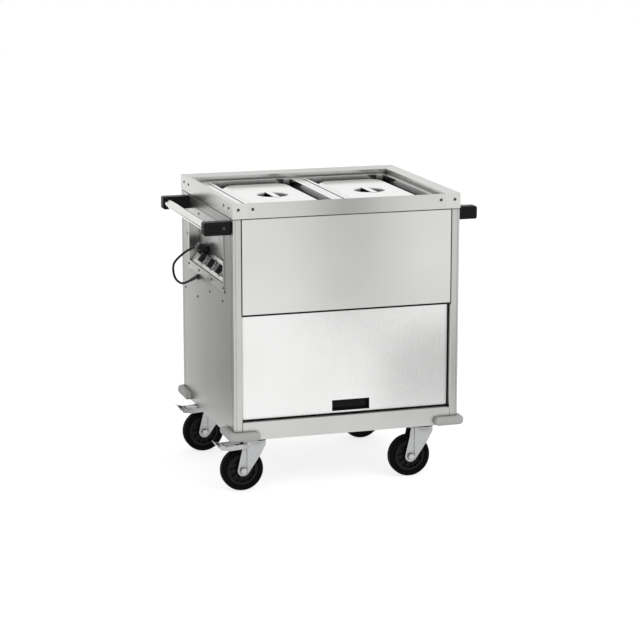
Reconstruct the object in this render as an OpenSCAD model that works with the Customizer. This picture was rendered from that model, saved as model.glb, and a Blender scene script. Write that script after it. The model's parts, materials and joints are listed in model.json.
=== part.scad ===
// Hostess trolley: a heated steel serving trolley with two lidded wells under a
// raised rim, a cupboard with a lift-up door, a recessed control panel with three
// knobs, push handles, corner bumpers and four swivel casters.
// Millimetres, +Z up, front facing -Y, origin on the floor under the middle.

/* [Body] */
// Width over the corner posts
body_w = 676; // [650:2:760]
// Depth over the corner posts
body_d = 598; // [570:2:680]
// Height of the rim's outer edge above the floor
top_z = 850; // [820:5:900]
// Side of a square corner post
post_s = 25; // [20:1:32]
// Wall of a corner post
post_wall = 2; // [1.5:0.5:3]
// Thickness of the outer panels
sheet = 2; // [1.5:0.5:3]
// Thickness of the base tray
tray_t = 3; // [2:0.5:4]
// Height of the base rails
rail_h = 52; // [40:1:60]
// Lower edge of the upper front panel, above the base's underside
split_h = 362; // [340:1:380]
// Gap between door, posts, rail and upper panel
door_gap = 4; // [3:0.5:6]

/* [Rim and deck] */
// Height of the rim's outer face
rim_h = 44; // [36:1:50]
// Width of the rim's top face
rim_top_w = 27.5; // [22:0.5:34]
// Fall of the rim's top face towards the deck
rim_fall = 7.4; // [4:0.2:10]
// How far the rim stands out past the posts
rim_proud = 1; // [0.5:0.5:3]
// Sheet of the rim
rim_sheet = 2.5; // [2:0.5:3.5]
// Length of a rim corner piece along each side
rim_corner_l = 45; // [36:1:60]
// Depth of the deck below the rim's outer edge
deck_drop = 21; // [18:1:26]
// Thickness of the deck
deck_t = 3; // [2:0.5:4]
// Shadow gap between the rim and the panels
shadow_gap = 3; // [2:0.5:5]

/* [Wells, pans and lids] */
// Clear width of a well
well_w = 252; // [230:2:262]
// Clear depth of a well, front to back
well_d = 490; // [450:2:500]
// Distance between the middles of the two wells
well_pitch = 300; // [288:1:310]
// Offset of the wells to the right of the middle
well_x = 14; // [8:1:18]
// Corner radius of a well
well_r = 22; // [18:1:24]
// Wall of a well
well_wall = 1.5; // [1.2:0.1:2]
// Width of the ledge that carries the pan
ledge_w = 12; // [9:1:15]
// Depth of the ledge below the deck
ledge_drop = 21; // [18:1:26]
// Depth of a well below the deck
well_depth = 140; // [125:1:170]
// Depth of a pan
pan_depth = 100; // [65:1:110]
// Wall of a pan and of a lid
pan_wall = 1.5; // [1.2:0.1:2]
// Corner radius of a pan's flange and of a lid
pan_r = 28; // [26:1:34]
// Clearance round a pan and round a lid
pan_clear = 3; // [2:0.5:5]
// Height of the lid's raised middle above its flange
lid_rise = 12; // [8:1:16]
// Width of the lid's flange
lid_flange = 12; // [8:1:16]
// Run of the slope on the lid's long sides
lid_slope_x = 16; // [12:1:24]
// Run of the slope on the lid's short sides
lid_slope_y = 25; // [12:1:34]
// Diameter of the lid's grip cup
cup_d = 100; // [80:2:110]
// Depth of the lid's grip cup, less than the rise and the flange together
cup_depth = 10; // [8:0.5:13]
// Width of the strap across the cup
strap_w = 19; // [14:1:24]

/* [Door and cupboard] */
// Distance from the posts' front face back to the door's face
door_inset = 17; // [14:0.5:22]
// Thickness of the door
door_t = 14; // [12:0.5:18]
// How far the door reaches up behind the upper panel
door_overlap = 17; // [12:1:24]
// Width of the door grip's opening
grip_w = 110; // [90:2:130]
// Height of the door grip's opening
grip_h = 29; // [24:1:36]
// Offset of the door grip to the right of the middle
grip_x = 15; // [0:1:20]
// Height of the grip's lower edge above the door's lower edge
grip_rise = 7; // [6:1:12]
// Depth of the door grip
grip_depth = 16; // [14:1:20]
// Width of the door's guide shoes
shoe_w = 11.2; // [9:0.2:13]
// Side clearance of a guide shoe in its track
shoe_clear = 0.4; // [0.3:0.1:0.8]
// Distance from the middle to each track
track_x = 300; // [292:1:303]
// Wall of a track
track_wall = 2; // [1.5:0.5:3]
// Sheet of the door's two skins
door_sheet = 1.2; // [1:0.1:1.5]
// Half of the cupboard's clear width
liner_hw = 288; // [270:1:289]
// Clear height of the cupboard
liner_h = 300; // [280:1:310]
// Distance from the cupboard's back to the rear panel
liner_back = 14; // [10:1:30]
// Height of the shelf above the cupboard's floor
shelf_h = 146; // [120:1:170]

/* [Controls] */
// Rear end of the control recess, from the middle
recess_y1 = 200; // [196:1:206]
// Front end of the control recess, from the middle
recess_y0 = -188; // [-200:1:-180]
// Upper edge of the control recess, below the rim's outer edge
recess_drop = 105; // [98:1:112]
// Height of the control recess
recess_h = 141; // [130:1:150]
// Depth of the control recess
recess_depth = 32; // [30:0.5:36]
// Sheet of the control tub
tub_sheet = 1.5; // [1:0.1:2]
// Width of the tub's flange below the recess
tub_flange = 24; // [20:1:28]
// Width of the tub's flange above the recess
tub_flange_top = 30; // [24:1:32]
// Depth that the fascia slopes back
fascia_run = 28; // [26:0.5:30]
// Height that the fascia takes
fascia_rise = 41; // [38:0.5:46]
// Distance between the knobs
knob_pitch = 97; // [90:1:99]
// Middle knob's place along the recess
knob_y = -9; // [-14:1:-6]
// Diameter of a knob
knob_d = 32; // [28:1:34]
// Height of a knob off the fascia
knob_h = 18; // [16:1:22]
// Diameter of a knob's spindle
spindle_d = 6; // [5:0.5:8]
// Radial running clearance of spindles, pins and axles
run_clear = 0.05; // [0.03:0.01:0.08]

/* [Handles] */
// Distance from the side panel to the outer end of a handle bracket
handle_out = 80; // [70:1:90]
// Height of the handle brackets
bracket_h = 38; // [34:1:44]
// Width of a handle bracket along the side
bracket_w = 28; // [24:1:34]
// Diameter of the handle tube
tube_d = 25; // [22:0.5:28]
// Wall of the handle tube
tube_wall = 1.5; // [1.2:0.1:2.5]
// Depth that a tube end sits in its bracket
socket_l = 20; // [14:1:22]
// Place of the handle bracket nearer the body's end, from the middle to its outer face
handle_near = 285; // [270:1:290]
// Place of the other bracket, from the middle to its outer face
handle_far = 230; // [215:1:245]
// Middle of the handle tube, below the rim's outer edge
handle_drop = 71; // [66:1:80]
// Number of grooves on a bracket
groove_n = 3; // [2:1:4]

/* [Bumpers] */
// Thickness of a bumper
bumper_t = 18; // [14:1:22]
// Height of a bumper
bumper_h = 25; // [22:1:32]
// Length of a bumper along the front and back, from the post's corner
bumper_x = 72; // [60:1:90]
// Length of a bumper along the side, from the post's corner
bumper_y = 94; // [80:1:130]

/* [Casters] */
// Diameter of a wheel
wheel_d = 125; // [118:1:127]
// Width of a tyre
tyre_w = 32; // [28:1:36]
// Outer diameter of a hub
hub_d = 92; // [84:1:98]
// Whole height of a caster
caster_h = 166; // [162:1:176]
// Distance from the middle of the body to the swivel axes, across
swivel_x = 256; // [240:1:262]
// Distance from the middle of the body to the swivel axes, front to back
swivel_y = 224; // [210:1:228]
// Offset of the axle behind the swivel axis
trail = 42; // [36:1:46]
// Diameter of an axle
axle_d = 10; // [8:1:12]
// Diameter of the swivel pin
king_d = 12; // [10:1:14]
// Thickness of the fork's sheet
fork_t = 3; // [2.5:0.5:4]
// Gap between the hub and the fork on each side
fork_gap = 0.6; // [0.4:0.1:1]
// Diameter of the brake pedal's pin
brake_pin_d = 6; // [5:0.5:7]

/* [Cord] */
// Diameter of the mains cord
cord_d = 7; // [6:0.5:8]

/* [Hidden] */

steel = "silver";
black = [0.08, 0.08, 0.09];
eps = 0.01;

// Body frame
half_w = body_w / 2;
half_d = body_d / 2;
base_z = caster_h;
rail_z = base_z + rail_h;
panel_top = top_z - rim_h - shadow_gap;
deck_z = top_z - deck_drop;
deck_under = deck_z - deck_t;
split_z = base_z + split_h;
in_x = half_w - sheet;
in_y = half_d - sheet;
post_x = half_w - post_s;
post_y = half_d - post_s;
post_r = 3;
post_line_in = 6;
post_line_w = 1;
post_line_deep = 0.6;
spigot_l = 20;
panel_foot = split_z + door_gap / 2 + 1;
panel_joggle = 6;
panel_lip = 10;
slot_l = 70;
slot_h = 6;
slot_n = 6;
slot_pitch = 18;
slot_in = 70;
slot_rise = 90;
bearer_w = 40;
bearer_y = 150;
pad_l = 110;
pad_w = 95;
pad_t = 4;

// Rim
rim_hw = half_w + rim_proud;
rim_hd = half_d + rim_proud;
rim_x0 = rim_hw - rim_corner_l;
rim_y0 = rim_hd - rim_corner_l;

// Door and cupboard
door_hw = post_x - door_gap;
door_y = -half_d + door_inset;
door_z0 = rail_z + door_gap + 1;
door_z1 = split_z + door_overlap;
shoe_l = 36;
shoe_reach = 14;
shoe_end = 10;
track_gap = 2;
track_y0 = door_y + door_t + track_gap;
track_y1 = door_y + door_t + shoe_reach + 2 + track_wall;
track_hw = shoe_w / 2 + shoe_clear + track_wall;
mouth_z = door_z1;
liner_z0 = rail_z;
liner_y1 = half_d - liner_back;
shelf_z = liner_z0 + sheet + shelf_h;
grip_z = door_z0 + grip_rise;
grip_wall = 1.5;
grip_lip_in = 1;
grip_lip_t = 3;
grip_lip_h = 4.5;
runner_w = 14;
runner_h = 12;
shelf_gap = 1;
shelf_slot_l = 72;
shelf_slot_w = 14;
shelf_slot_x = 108;
shelf_slot_y = 84;
shelf_y0 = track_y1 + 8;

// Wells
well_flange = 8;
weld_gap = 0.05;
well_xs = [well_x - well_pitch / 2, well_x + well_pitch / 2];
ledge_z = deck_z - ledge_drop;
tank_w = well_w - 2 * ledge_w;
tank_d = well_d - 2 * ledge_w;
tank_r = well_r - 2;
well_bottom = deck_z - well_depth;
pan_top = ledge_z + pan_wall;
lid_top = pan_top + pan_wall + lid_rise;
dome_foot_r = pan_r + 2;
dome_top_r = pan_r + 10;
cup_slope = 10;
element_d = 8;
element_drop = 3;
element_in = 40;
element_clip_w = 10;

// Controls
recess_z1 = top_z - recess_drop;
recess_z0 = recess_z1 - recess_h;
recess_mid = (recess_y1 + recess_y0) / 2;
recess_x = -half_w + recess_depth;
tub_side = 13;
tub_clear = 0.5;
fascia_x0 = recess_x - fascia_run;
fascia_tilt = atan2(fascia_run, fascia_rise);
fascia_mid = [recess_x - fascia_run / 2, recess_z0 + fascia_rise / 2];
knob_ys = [knob_y + knob_pitch, knob_y, knob_y - knob_pitch];
fascia_hole = spindle_d + 4;
stat_w = 28;
stat_l = 32;
stat_d = 24;
knob_gap = 0.4;
skirt_t = 3.2;
skirt_slope = 2.6;
knob_base = 5;
bar_w = 9;
mark_l = 9;
mark_w = 1.5;
spindle_in = 16;

// Handles
handle_z = top_z - handle_drop;
tube_x = half_w + handle_out - bracket_h / 2 + 3;
tube_clear = 0.2;
bracket_r = 6;
bracket_gap = 0.5;
bracket_screw_x = 22;
bracket_screw_d = 8.8;
bracket_sink = 2.4;
groove_l = 38;
groove_h = 4;
groove_deep = 1.4;
groove_pitch = 9;
groove_in = 10;

// Screws: distance along a rim from its end, then places as [along, height]
rim_screw_z = top_z - rim_h / 2 + 4;
rim_screws_x = [17, 59];
rim_screws_y = [41, 95];
side_screws = [[post_y - 15, recess_z0 - 95], [recess_y1 + 25, recess_z0 + 76],
    [111, recess_z0 - 96], [recess_mid - 42, recess_z0 - 53],
    [recess_y0 + 7, recess_z0 - 53], [recess_y0 - 19, recess_z0 - 23],
    [127, base_z + 3]];
tub_screws = [[recess_y0 - 6, recess_z0 - 12], [recess_y0 - 7, recess_z0 + 69],
    [recess_mid - 66, recess_z0 - 12], [recess_mid + 80, recess_z0 - 12],
    [recess_y1 + 6, recess_z0 - 12], [recess_mid - 100, recess_z1 + 18],
    [recess_mid + 74, recess_z1 + 18]];
screw_d = 9;
side_screw_d = 8;
screw_t = 1.8;

// Casters: name, side across, side front to back, brake
CASTERS = [["fl", -1, -1, true], ["fr", 1, -1, false],
    ["rl", -1, 1, true], ["rr", 1, 1, false]];
axle_z = wheel_d / 2;
hub_w = tyre_w + 4;
tyre_bore = hub_d / 2 + 0.1;
tyre_round = 8;
tyre_line = 0.9;
boss_r = 15;
web_t = 8;
rim_t = 9;
rib_n = 10;
rib_t = 3;
washer_d = 20;
washer_t = 1.6;
axle_nut_d = 18.5;
axle_nut_h = 7;
leg_y = hub_w / 2 + fork_gap;
plate_t = 3;
plate_l = 100;
plate_w = 86;
bolt_x = 39;
bolt_y = 32;
bolt_d = 8;
bolt_hole = 8.4;
bolt_head_d = 15;
bolt_head_h = 5.5;
bolt_nut_h = 6.5;
crown_top = base_z - 16;
crown_t = 4;
crown_gap = 0.5;
crown_r = 32;
leg_r = 17;
leg_step = 1.6;
leg_step_x = -31;
brake_x = -37;
brake_z = crown_top - 15;
arm_y = leg_y + fork_t + leg_step + 0.5;
arm_t = 2.5;

// Mains lead. Points are [out of the side panel, along it, above the recess's
// lower edge]: the elbow, then the points that the cord runs through
gland_point = [6, 94, -33];
cord_points = [[20, 117, -47], [39, 150, -61], [53, 179, -46], [52, 191, -8],
    [19, 194, 23], [-6, 179, 40], [-14, 153, 47]];
cord_steps = 5;
cord_sides = 10;
cord_end = [0, -1, 0];
gland_disc_d = 17;
gland_disc_t = 4;
gland_d = 12;
plug_r = 15;
plug_body = 30;
plug_taper = 9;
plug_boot = 7;
pin_d = 4.8;
pin_l = 19;
pin_gap = 19;
clip_l = 16;
clip_wall = 2.2;
clip_mouth = 7;

// A rectangle with rounded corners
module rounded_rect(w, d, r) {
    square([w - 2 * r, d], center = true);
    square([w, d - 2 * r], center = true);
    for (sx = [-1, 1], sy = [-1, 1])
        translate([sx * (w / 2 - r), sy * (d / 2 - r)]) circle(r, $fn = 48);
}

module rounded_block(w, d, r, z0, z1)
    translate([0, 0, z0]) linear_extrude(z1 - z0) rounded_rect(w, d, r);

// A box given by its lowest and highest corners
module block(lo, hi) translate(lo) cube(hi - lo);

module mirror_pair(axis) {
    children();
    mirror(axis) children();
}

module four_corners() mirror_pair([1, 0, 0]) mirror_pair([0, 1, 0]) children();

// A cylinder along Y
module rod_y(d, y0, y1) translate([0, y1, 0]) rotate([90, 0, 0]) cylinder(d = d, h = y1 - y0, $fn = 48);

// ---------------------------------------------------------------- body

// Folded tray: floor, front rail, back and side walls, with the corners left
// out for the posts
module tray_outline(inset) {
    square([2 * in_x - 2 * inset, 2 * post_y - (inset > 0 ? 2 * inset : 0)], center = true);
    translate([-post_x + inset, -half_d + inset])
        square([2 * post_x - 2 * inset, half_d + in_y - 2 * inset]);
}

module base_frame() color(steel) {
    difference() {
        translate([0, 0, base_z]) linear_extrude(rail_h) tray_outline(0);
        translate([0, 0, base_z + tray_t]) linear_extrude(rail_h) tray_outline(tray_t);
        for (c = CASTERS, bx = [-1, 1], by = [-1, 1])
            translate([c[1] * swivel_x + bx * bolt_x, c[2] * swivel_y + by * bolt_y, base_z - eps])
                cylinder(d = bolt_hole, h = tray_t + pad_t + 2 * eps, $fn = 32);
    }
    for (c = CASTERS) difference() {
        translate([c[1] * swivel_x, c[2] * swivel_y, base_z + tray_t])
            linear_extrude(pad_t) square([pad_l, pad_w], center = true);
        for (bx = [-1, 1], by = [-1, 1])
            translate([c[1] * swivel_x + bx * bolt_x, c[2] * swivel_y + by * bolt_y, base_z])
                cylinder(d = bolt_hole, h = 3 * pad_t, $fn = 32);
    }
    mirror_pair([0, 1, 0]) difference() {
        block([-liner_hw, bearer_y - bearer_w / 2, base_z + tray_t],
            [liner_hw, bearer_y + bearer_w / 2, liner_z0]);
        block([-liner_hw - 1, bearer_y - bearer_w / 2 + tray_t, base_z],
            [liner_hw + 1, bearer_y + bearer_w / 2 - tray_t, liner_z0 - tray_t]);
    }
}

// Square tube with rounded outer edges and a fine shadow line down each face
module post_profile() difference() {
    rounded_rect(post_s, post_s, post_r);
    square([post_s - 2 * post_wall, post_s - 2 * post_wall], center = true);
    for (a = [180, 270]) rotate(a) translate([post_s / 2 - post_line_deep, -post_s / 2 + post_line_in])
        square([1, post_line_w]);
}

module corner_posts() color(steel) four_corners() translate([-half_w + post_s / 2, -half_d + post_s / 2, 0]) {
    translate([0, 0, base_z]) linear_extrude(panel_top - base_z) post_profile();
    translate([0, 0, panel_top - spigot_l]) linear_extrude(deck_under - panel_top + spigot_l)
        square(post_s - 2 * post_wall, center = true);
}

module side_sheet() translate([-half_w, 0, 0])
    block([0, -post_y, base_z], [sheet, post_y, panel_top]);

module left_side_panel() color(steel) difference() {
    side_sheet();
    block([-half_w - 1, recess_y0 - tub_sheet - tub_clear, recess_z0 - tub_sheet - tub_clear],
        [-half_w + sheet + 1, recess_y1 + tub_sheet + tub_clear, recess_z1 + tub_sheet + tub_clear]);
    translate([-half_w - 1, gland_at[1], gland_at[2]]) rotate([0, 90, 0])
        cylinder(d = gland_d + 0.4, h = sheet + 2, $fn = 40);
}

module right_side_panel() color(steel) mirror([1, 0, 0]) side_sheet();

// Rear panel with two columns of cooling slots for the control space
module rear_panel() color(steel) difference() {
    block([-post_x, in_y, base_z], [post_x, half_d, panel_top]);
    for (sx = [-1, 1], i = [0 : slot_n - 1])
        translate([sx * (post_x - slot_in), half_d, split_z + slot_rise + i * slot_pitch])
            rotate([90, 0, 0]) linear_extrude(3 * sheet, center = true)
                rounded_rect(slot_l, slot_h, slot_h / 2 - 0.1);
}

// Folded front panel with a joggled top edge under the rim and a lip at its foot
module upper_front_panel() color(steel)
    translate([-post_x, 0, 0]) rotate([90, 0, 90]) linear_extrude(2 * post_x)
        polygon([[-half_d, panel_foot], [-half_d, panel_top],
            [-half_d + panel_joggle, panel_top], [-half_d + panel_joggle, deck_under],
            [-half_d + panel_joggle + sheet, deck_under],
            [-half_d + panel_joggle + sheet, panel_top - sheet],
            [-half_d + sheet, panel_top - sheet], [-half_d + sheet, panel_foot + sheet],
            [-half_d + panel_lip, panel_foot + sheet], [-half_d + panel_lip, panel_foot]]);

// Sheet between the door's parking space and the wells
module heat_baffle() color(steel)
    block([-in_x, track_y1, mouth_z], [in_x, track_y1 + sheet, deck_under]);

// A U channel on each side, open to the front, with a stop under the door's shoes
module door_tracks() color(steel) mirror_pair([1, 0, 0]) difference() {
    block([track_x - track_hw, track_y0, rail_z], [track_x + track_hw, track_y1, deck_under]);
    block([track_x - track_hw + track_wall, track_y0 - 1, door_z0 + shoe_end],
        [track_x + track_hw - track_wall, track_y1 - track_wall, deck_under + 1]);
}

// Cupboard: an open-fronted box with a mouth flange, a sill and shelf runners
module cupboard_liner() color(steel) {
    difference() {
        union() {
            block([-liner_hw - sheet, track_y1, liner_z0],
                [liner_hw + sheet, liner_y1 + sheet, liner_z0 + liner_h + 2 * sheet]);
            block([-in_x, track_y1, liner_z0], [in_x, track_y1 + sheet, mouth_z]);
        }
        block([-liner_hw, track_y1 - 1, liner_z0 + sheet],
            [liner_hw, liner_y1, liner_z0 + sheet + liner_h]);
    }
    block([-post_x + tray_t, -half_d + tray_t, rail_z - sheet],
        [post_x - tray_t, track_y1 + sheet, rail_z]);
    mirror_pair([1, 0, 0]) difference() {
        block([liner_hw - runner_w, track_y1 + 6, shelf_z - runner_h], [liner_hw, liner_y1 - 4, shelf_z]);
        block([liner_hw - runner_w - 1, track_y1 + 5, shelf_z - runner_h - 1],
            [liner_hw - sheet, liner_y1 - 3, shelf_z - sheet]);
    }
}

// Shelf plate with a front lip and rows of slots
module cupboard_shelf() color(steel) {
    difference() {
        block([-liner_hw + shelf_gap, shelf_y0, shelf_z],
            [liner_hw - shelf_gap, liner_y1 - shelf_gap, shelf_z + sheet]);
        for (ix = [-2 : 2], iy = [-2 : 2])
            translate([ix * shelf_slot_x, (track_y1 + liner_y1) / 2 + iy * shelf_slot_y, shelf_z - 1])
                linear_extrude(sheet + 2)
                    rounded_rect(shelf_slot_l, shelf_slot_w, shelf_slot_w / 2 - 0.1);
    }
    block([-liner_hw + runner_w + 2, shelf_y0, shelf_z - runner_h - 2],
        [liner_hw - runner_w - 2, shelf_y0 + sheet, shelf_z]);
}

// A heating element bent to and fro, with clips up to what it heats; its
// straight runs are a little thinner than its bends and end inside them
module serpentine(w, d, turns, z_top) {
    pitch = w / (2 * turns - 1);
    leg = d - 2 * pitch;
    zc = z_top - element_drop - element_d / 2;
    for (i = [0 : 2 * turns - 1]) translate([-w / 2 + i * pitch, 0, zc])
        rod_y(element_d - 0.2, -leg / 2 - 1, leg / 2 + 1);
    for (i = [0 : 2 * turns - 2]) {
        end = i % 2 == 0 ? 1 : -1;
        translate([-w / 2 + (i + 0.5) * pitch, end * leg / 2, zc])
            rotate([0, 0, end > 0 ? 0 : 180]) rotate_extrude(angle = 180, $fn = 48)
                translate([pitch / 2, 0]) circle(d = element_d, $fn = 24);
    }
    for (sy = [-1, 1]) translate([0, sy * leg / 3, 0])
        block([-w / 2 - element_d, -element_clip_w / 2, zc - element_d / 2 - 2],
            [w / 2 + element_d, element_clip_w / 2, z_top]);
}

module cupboard_heater() color("dimgray")
    serpentine(liner_hw, 2 * bearer_y - bearer_w - element_in, 3, liner_z0);

module well_heaters() color("dimgray") for (x = well_xs)
    translate([x, 0, 0]) serpentine(tank_w - 2 * element_in, tank_d - 2 * element_in, 2, well_bottom);

// ---------------------------------------------------------------- top

module deck() color(steel) difference() {
    block([-in_x, -in_y, deck_under], [in_x, in_y, deck_z]);
    for (x = well_xs) translate([x, 0, 0])
        rounded_block(well_w + 2 * well_wall + 1, well_d + 2 * well_wall + 1,
            well_r + well_wall + 0.5, deck_under - 1, deck_z + 1);
}

// Folded section: upright outer face, top falling inwards, inner face on the deck
module rim_profile() polygon([[0, top_z - rim_h], [0, top_z],
    [rim_top_w, top_z - rim_fall], [rim_top_w, deck_z],
    [rim_top_w - rim_sheet, deck_z], [rim_top_w - rim_sheet, top_z - rim_fall - rim_sheet + 0.7],
    [rim_sheet, top_z - rim_sheet - 0.8], [rim_sheet, top_z - rim_h]]);

module rim_front(x0, x1)
    translate([x0, -rim_hd, 0]) rotate([90, 0, 90]) linear_extrude(x1 - x0) rim_profile();

module rim_left(y0, y1)
    translate([-rim_hw, y1, 0]) rotate([90, 0, 0]) linear_extrude(y1 - y0) rim_profile();

module top_rim() color(steel) {
    mirror_pair([0, 1, 0]) rim_front(-rim_x0, rim_x0);
    mirror_pair([1, 0, 0]) rim_left(-rim_y0, rim_y0);
}

// Mitred corner pieces between the rails
module rim_corners() color(steel) four_corners() union() {
    intersection() {
        rim_front(-rim_hw, -rim_x0);
        translate([-rim_hw, -rim_hd, top_z - 2 * rim_h]) linear_extrude(3 * rim_h)
            polygon([[0, 0], [rim_corner_l, 0], [rim_corner_l, rim_corner_l]]);
    }
    intersection() {
        rim_left(-rim_hd, -rim_y0);
        translate([-rim_hw, -rim_hd, top_z - 2 * rim_h]) linear_extrude(3 * rim_h)
            polygon([[0, 0], [rim_corner_l, rim_corner_l], [0, rim_corner_l]]);
    }
}

// Upright ring round a well, with a flange on the deck
module well_ring() difference() {
    union() {
        rounded_block(well_w + 2 * well_wall + 2 * well_flange, well_d + 2 * well_wall + 2 * well_flange,
            well_r + well_flange, deck_z, deck_z + well_wall);
        rounded_block(well_w + 2 * well_wall, well_d + 2 * well_wall, well_r + well_wall,
            ledge_z + weld_gap, deck_z + well_wall / 2);
    }
    rounded_block(well_w, well_d, well_r, ledge_z - 1, deck_z + 10);
}

// Drawn tank, welded under the ring by the ledge round its mouth
module well_tank() difference() {
    union() {
        rounded_block(well_w + 2 * well_wall, well_d + 2 * well_wall, well_r + well_wall,
            ledge_z - well_wall, ledge_z);
        rounded_block(tank_w + 2 * well_wall, tank_d + 2 * well_wall, tank_r + well_wall,
            well_bottom, ledge_z - well_wall / 2);
    }
    rounded_block(tank_w, tank_d, tank_r, well_bottom + well_wall, ledge_z + 1);
}

module well() {
    well_ring();
    well_tank();
}

module well_left() color(steel) translate([well_xs[0], 0, 0]) well();
module well_right() color(steel) translate([well_xs[1], 0, 0]) well();

// Open pan that hangs on the well's ledge by its flange
module pan() difference() {
    union() {
        rounded_block(well_w - 2 * pan_clear, well_d - 2 * pan_clear, pan_r, ledge_z, pan_top);
        rounded_block(tank_w - 2 * pan_clear, tank_d - 2 * pan_clear, tank_r - pan_clear,
            pan_top - pan_depth, pan_top - pan_wall / 2);
    }
    rounded_block(tank_w - 2 * pan_clear - 2 * pan_wall, tank_d - 2 * pan_clear - 2 * pan_wall,
        tank_r - pan_clear - pan_wall, pan_top - pan_depth + pan_wall, pan_top + 1);
}

module pan_left() color(steel) translate([well_xs[0], 0, 0]) pan();
module pan_right() color(steel) translate([well_xs[1], 0, 0]) pan();

// Raised middle of a lid, as a solid whose top edge is drawn in
module lid_dome(inset, z0, z1) hull() {
    foot_w = well_w - 2 * (pan_clear + lid_flange + inset);
    foot_d = well_d - 2 * (pan_clear + lid_flange + inset);
    translate([0, 0, z0]) linear_extrude(eps) dome_rect(foot_w, foot_d, dome_foot_r);
    translate([0, 0, z1 - eps]) linear_extrude(eps)
        dome_rect(foot_w - 2 * lid_slope_x, foot_d - 2 * lid_slope_y, dome_top_r);
}

module dome_rect(w, d, r) hull() for (sx = [-1, 1], sy = [-1, 1])
    translate([sx * (w / 2 - r), sy * (d / 2 - r)]) circle(r, $fn = 32);

// Lid: flat flange, raised middle, a round grip cup and the strap across it
module lid() {
    difference() {
        union() {
            rounded_block(well_w - 2 * pan_clear, well_d - 2 * pan_clear, pan_r,
                pan_top, pan_top + pan_wall);
            lid_dome(0, pan_top + pan_wall / 2, lid_top);
        }
        lid_dome(pan_wall, pan_top - eps, lid_top - pan_wall);
        translate([0, 0, lid_top - pan_wall - 1]) cylinder(d = cup_d, h = 5, $fn = 64);
    }
    translate([0, 0, lid_top]) rotate_extrude($fn = 64)
        polygon([[0, -cup_depth - pan_wall], [cup_d / 2 - cup_slope, -cup_depth - pan_wall],
            [cup_d / 2, -pan_wall], [cup_d / 2 + 1, -pan_wall], [cup_d / 2 + 1, 0],
            [cup_d / 2 - 0.8, 0], [cup_d / 2 - cup_slope - 0.8, -cup_depth], [0, -cup_depth]]);
    block([-strap_w / 2, -cup_d / 2 - 3, lid_top - 1.5], [strap_w / 2, cup_d / 2 + 3, lid_top + 0.5]);
}

module lid_left() color("gainsboro") translate([well_xs[0], 0, 0]) lid();
module lid_right() color("gainsboro") translate([well_xs[1], 0, 0]) lid();

// ---------------------------------------------------------------- door

module grip_opening() translate([grip_x, 0, grip_z + grip_h / 2])
    block([-grip_w / 2 - grip_wall, door_y - 1, -grip_h / 2 - grip_wall],
        [grip_w / 2 + grip_wall, door_y + door_t + 1, grip_h / 2 + grip_wall]);

// Outer skin, folded back round all four edges
module door_panel() color(steel) difference() {
    block([-door_hw, door_y, door_z0], [door_hw, door_y + door_t - door_sheet, door_z1]);
    block([-door_hw + door_sheet, door_y + door_sheet, door_z0 + door_sheet],
        [door_hw - door_sheet, door_y + door_t, door_z1 - door_sheet]);
    grip_opening();
}

// Inner skin that closes the door's back
module door_back() color(steel) difference() {
    block([-door_hw, door_y + door_t - door_sheet, door_z0], [door_hw, door_y + door_t, door_z1]);
    grip_opening();
}

// Moulded finger pocket let into the door, deeper behind its upper edge
module door_grip() color(black) translate([grip_x, door_y, grip_z]) difference() {
    block([-grip_w / 2 - grip_wall, 0, -grip_wall], [grip_w / 2 + grip_wall, grip_depth, grip_h + grip_wall]);
    translate([-grip_w / 2, 0, 0]) rotate([90, 0, 90]) linear_extrude(grip_w)
        polygon([[-1, 0], [-1, grip_h], [grip_lip_in, grip_h],
            [grip_lip_in + grip_lip_t, grip_h - grip_lip_h], [grip_lip_in + grip_lip_t, grip_h],
            [grip_depth - grip_wall, grip_h], [grip_depth - grip_wall, 0]]);
}

module door_shoes() color(black) mirror_pair([1, 0, 0])
    for (z = [door_z0 + shoe_end, door_z1 - shoe_end - shoe_l])
        block([track_x - shoe_w / 2, door_y + door_t, z],
            [track_x + shoe_w / 2, door_y + door_t + shoe_reach, z + shoe_l]);

// ---------------------------------------------------------------- controls

// Sheet tub in the side panel: sloped fascia below, upright wall above, flange round it
module tub_shape(grow, front) polygon([
    [front, recess_z0 - grow],
    [fascia_x0 + grow * (1 - sin(fascia_tilt)) / cos(fascia_tilt), recess_z0 - grow],
    [recess_x + grow, recess_z0 + fascia_rise - grow * (1 - cos(fascia_tilt)) / sin(fascia_tilt)],
    [recess_x + grow, recess_z1 + grow], [front, recess_z1 + grow]]);

module along_recess(y0, y1)
    translate([0, y1, 0]) rotate([90, 0, 0]) linear_extrude(y1 - y0) children();

// Local frame of a knob: on the fascia's face, +Z straight out of it
module on_fascia(y) translate([fascia_mid[0], y, fascia_mid[1]])
    rotate([0, -(90 - fascia_tilt), 0]) children();

module control_tub() color("gainsboro") difference() {
    union() {
        along_recess(recess_y0 - tub_sheet, recess_y1 + tub_sheet) tub_shape(tub_sheet, -half_w - tub_sheet / 2);
        block([-half_w - tub_sheet, recess_y0 - tub_side, recess_z0 - tub_flange],
            [-half_w, recess_y1 + tub_side, recess_z1 + tub_flange_top]);
    }
    block([-half_w - 2 * tub_sheet, handle_far - bracket_w - bracket_gap, handle_z - bracket_h / 2 - bracket_gap],
        [-half_w, handle_far + bracket_gap, handle_z + bracket_h / 2 + bracket_gap]);
    along_recess(recess_y0, recess_y1) tub_shape(0, -half_w - 5);
    for (y = knob_ys) on_fascia(y) translate([0, 0, -6]) cylinder(d = fascia_hole, h = 12, $fn = 40);
}

// Thermostat bodies behind the fascia, each bored for its spindle
module thermostats() color("dimgray") for (y = knob_ys) on_fascia(y) difference() {
    translate([-stat_w / 2, -stat_l / 2, -tub_sheet - stat_d]) cube([stat_w, stat_l, stat_d]);
    translate([0, 0, -2 * stat_d]) cylinder(d = spindle_d + 2 * run_clear, h = 3 * stat_d, $fn = 40);
}

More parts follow.
